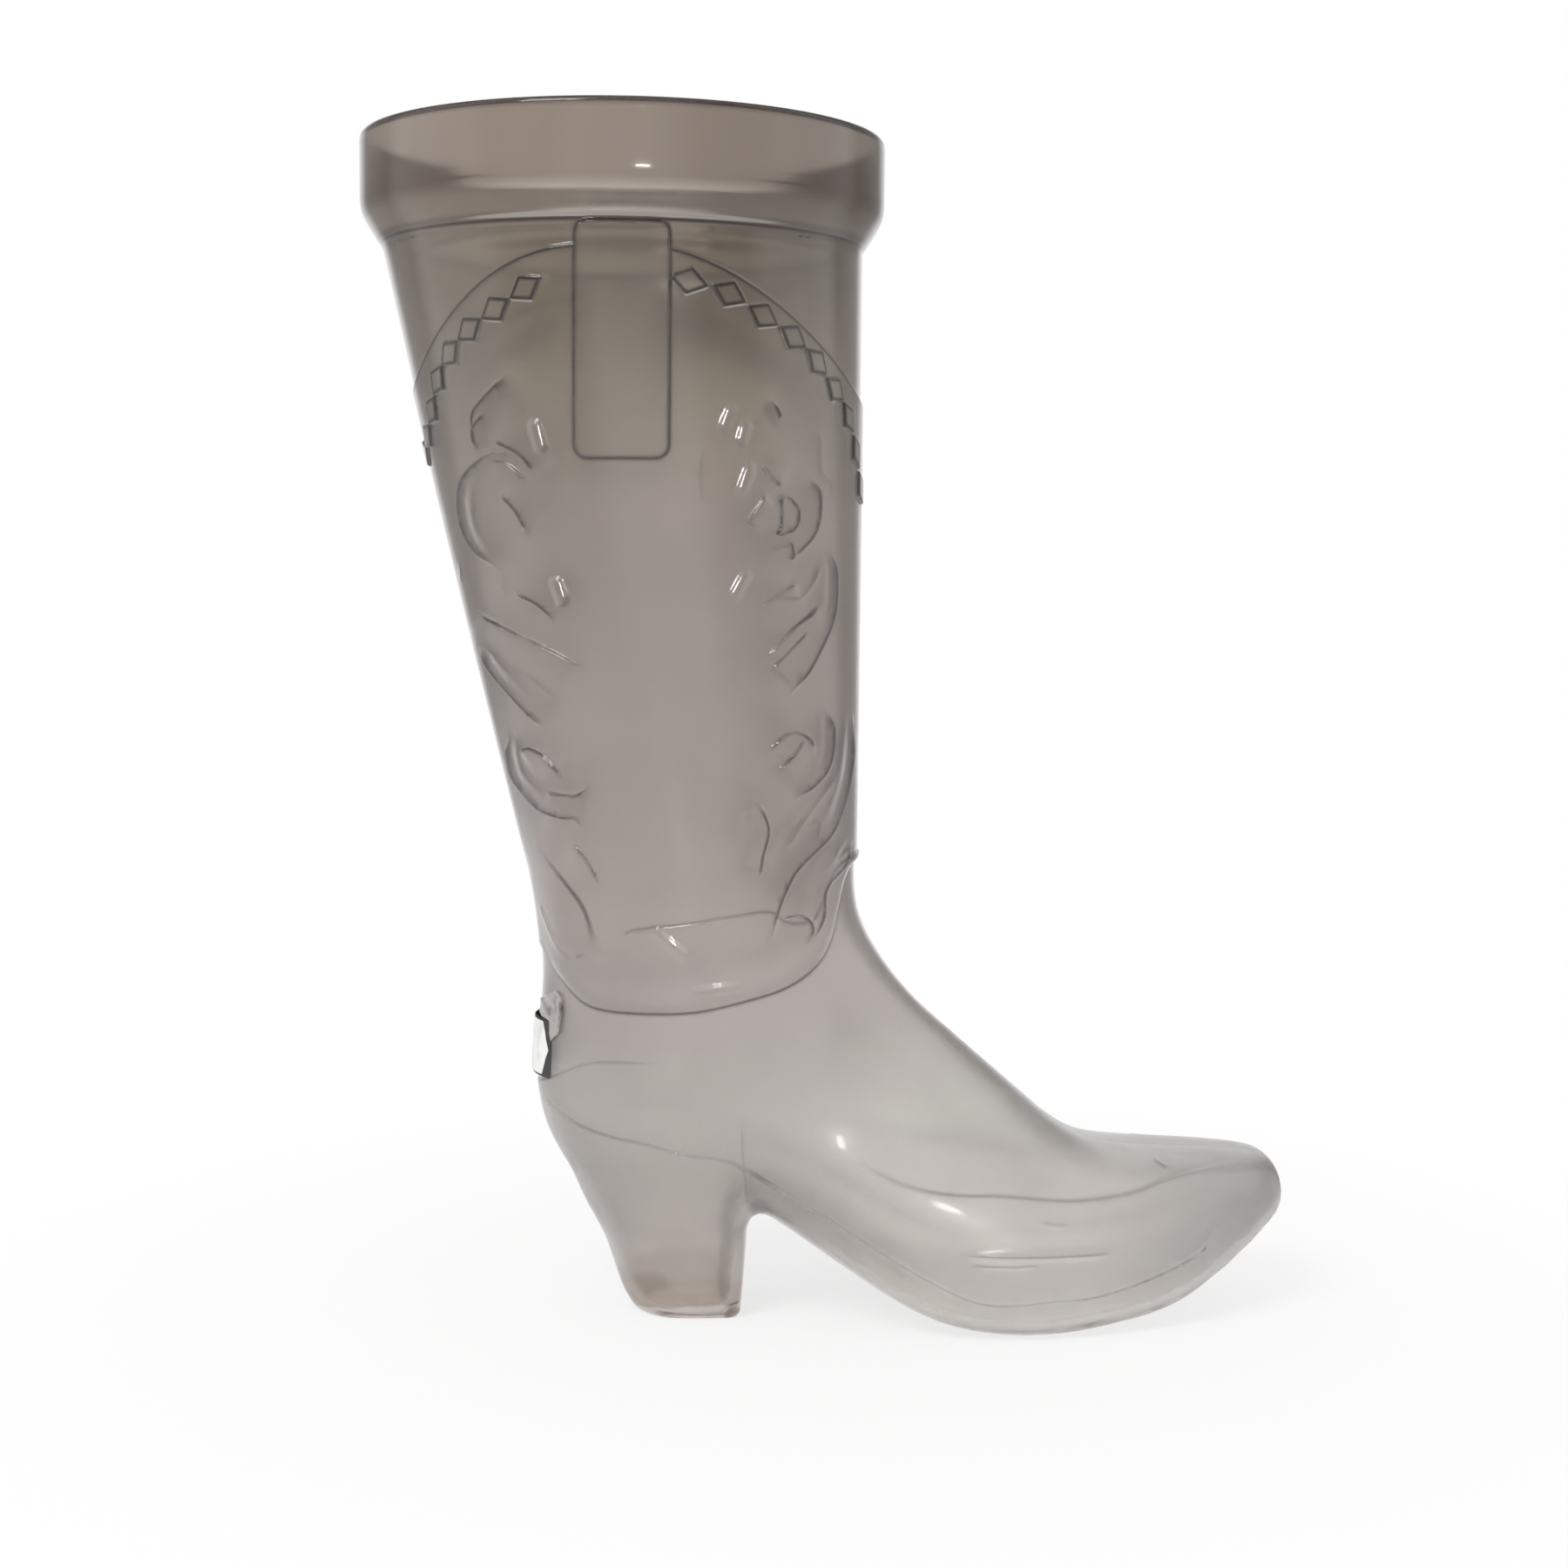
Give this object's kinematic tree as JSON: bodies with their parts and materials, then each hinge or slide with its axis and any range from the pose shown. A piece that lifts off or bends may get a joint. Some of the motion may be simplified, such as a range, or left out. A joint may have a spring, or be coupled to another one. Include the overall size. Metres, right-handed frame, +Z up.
{
  "type": "boot cup",
  "caption": "Clear plastic drinking cup shaped like a Western boot, with a round collared mouth, tapered shaft with strap and panel relief, hollow pointed foot, slanted heel and blank label.",
  "frame": {"origin": "on the table plane under the middle of the boot's overall length, on the middle plane of the boot", "axes": "+X towards the toe, +Y to the boot's left, +Z up through the mouth"},
  "size_m": [0.1672, 0.0924, 0.2097],
  "materials": {
    "clear_plastic": "clear, smoky, glossy",
    "label_paper": "coated label paper, matt",
    "clear_film": "creased clear film"
  },
  "bodies": {
    "root": {"right_half_shell": "clear_plastic", "left_half_shell": "clear_plastic", "back_label": "label_paper", "label_film": "clear_film"}
  },
  "joints": []
}
